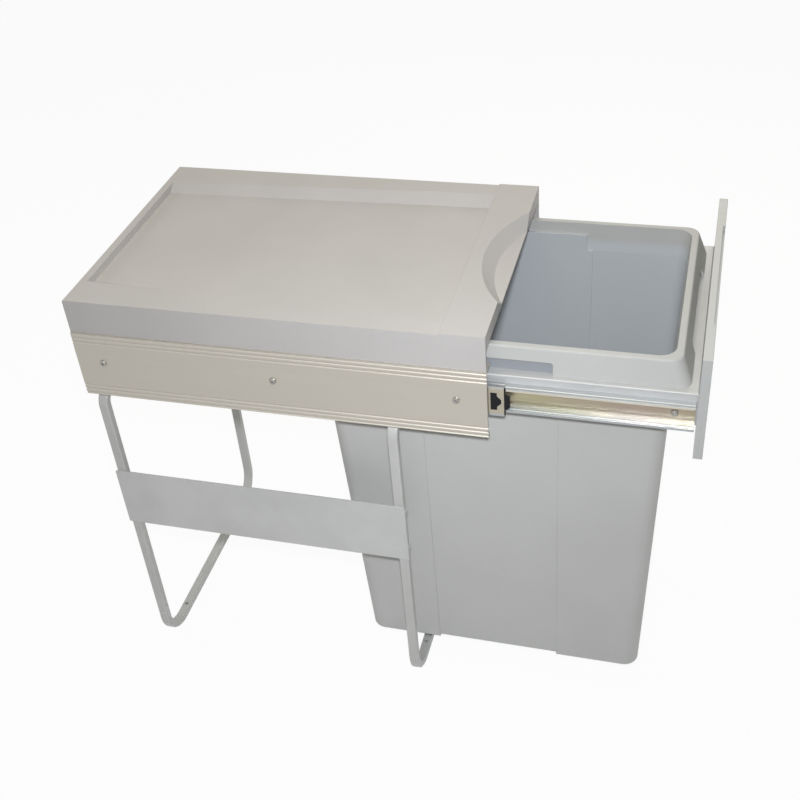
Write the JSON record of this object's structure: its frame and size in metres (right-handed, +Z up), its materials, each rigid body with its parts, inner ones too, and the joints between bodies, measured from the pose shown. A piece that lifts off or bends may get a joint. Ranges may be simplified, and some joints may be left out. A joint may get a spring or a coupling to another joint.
{
  "type": "pull-out trash cabinet",
  "caption": "Waste bin hung in a carrier on telescopic ball slides, under a tray-topped cover on bent-bar legs, with a front panel that takes a cabinet door.",
  "frame": {"origin": "on the floor, at the centre of the four floor-screw holes in the leg loops", "axes": "+Z up; the bin pulls out along -Y; +X to the right seen from the front side looking along +Y"},
  "size_m": [0.3364, 0.7035, 0.5672],
  "materials": {
    "cover_plastic": "fine-grained moulded polypropylene, warm grey",
    "rail_aluminium": "satin anodised, champagne tint, ribbed along both edges",
    "leg_paint": "silver-grey powder coat",
    "brace_paint": "silver-grey powder coat",
    "slide_zinc": "bright zinc plate",
    "slide_passivate": "zinc plate with a faint yellow passivation on the web",
    "ball_steel": "polished bearing steel",
    "cage_steel": "zinc-plated sheet",
    "stop_plastic": "black acetal",
    "carrier_paint": "light grey powder coat",
    "bin_plastic": "fine-grained moulded polypropylene, mid grey",
    "panel_aluminium": "satin silver",
    "screw_steel": "zinc-plated"
  },
  "bodies": {
    "root": {"top_cover": "cover_plastic", "cover_screws": "screw_steel", "left_side_rail": "rail_aluminium", "right_side_rail": "rail_aluminium", "left_slide_outer": "slide_zinc", "right_slide_outer": "slide_zinc", "left_slide_screws": "screw_steel", "right_slide_screws": "screw_steel", "front_leg_loop": "leg_paint", "rear_leg_loop": "leg_paint", "leg_screws": "screw_steel", "left_brace_panel": "brace_paint", "right_brace_panel": "brace_paint"},
    "left_middle": {"left_slide_middle": "slide_zinc", "left_middle_end_stop": "stop_plastic"},
    "right_middle": {"right_slide_middle": "slide_zinc", "right_middle_end_stop": "stop_plastic"},
    "carriage": {"left_slide_inner": "slide_passivate", "right_slide_inner": "slide_passivate", "bin_carrier": "carrier_paint", "carrier_screws": "screw_steel", "waste_bin": "bin_plastic", "front_panel": "panel_aluminium", "panel_screws": "screw_steel"},
    "left_outer_cage": {"left_outer_ball_cage": "cage_steel", "left_outer_balls": "ball_steel"},
    "right_outer_cage": {"right_outer_ball_cage": "cage_steel", "right_outer_balls": "ball_steel"},
    "left_inner_cage": {"left_inner_ball_cage": "cage_steel", "left_inner_balls": "ball_steel"},
    "right_inner_cage": {"right_inner_ball_cage": "cage_steel", "right_inner_balls": "ball_steel"}
  },
  "joints": [
    {"name": "left_middle_slide", "type": "slide", "parent": "root", "child": "left_middle", "axis": [0, -1, 0], "range_m": [-0.022, 0.195]},
    {"name": "right_middle_slide", "type": "slide", "parent": "root", "child": "right_middle", "axis": [0, -1, 0], "range_m": [-0.022, 0.195]},
    {"name": "carriage_slide", "type": "slide", "parent": "left_middle", "child": "carriage", "axis": [0, -1, 0], "range_m": [-0.1896, 0.02]},
    {"name": "left_outer_cage_roll", "type": "slide", "parent": "root", "child": "left_outer_cage", "axis": [0, -1, 0], "range_m": [-0.011, 0.0975]},
    {"name": "right_outer_cage_roll", "type": "slide", "parent": "root", "child": "right_outer_cage", "axis": [0, -1, 0], "range_m": [-0.011, 0.0975]},
    {"name": "left_inner_cage_roll", "type": "slide", "parent": "left_middle", "child": "left_inner_cage", "axis": [0, -1, 0], "range_m": [-0.0948, 0.01]},
    {"name": "right_inner_cage_roll", "type": "slide", "parent": "right_middle", "child": "right_inner_cage", "axis": [0, -1, 0], "range_m": [-0.0948, 0.01]}
  ],
  "couplings": [
    {"joint": "right_middle_slide", "follows": "left_middle_slide", "ratio": 1},
    {"joint": "left_outer_cage_roll", "follows": "left_middle_slide", "ratio": 0.5},
    {"joint": "right_outer_cage_roll", "follows": "left_middle_slide", "ratio": 0.5},
    {"joint": "left_inner_cage_roll", "follows": "carriage_slide", "ratio": 0.5},
    {"joint": "right_inner_cage_roll", "follows": "carriage_slide", "ratio": 0.5}
  ]
}
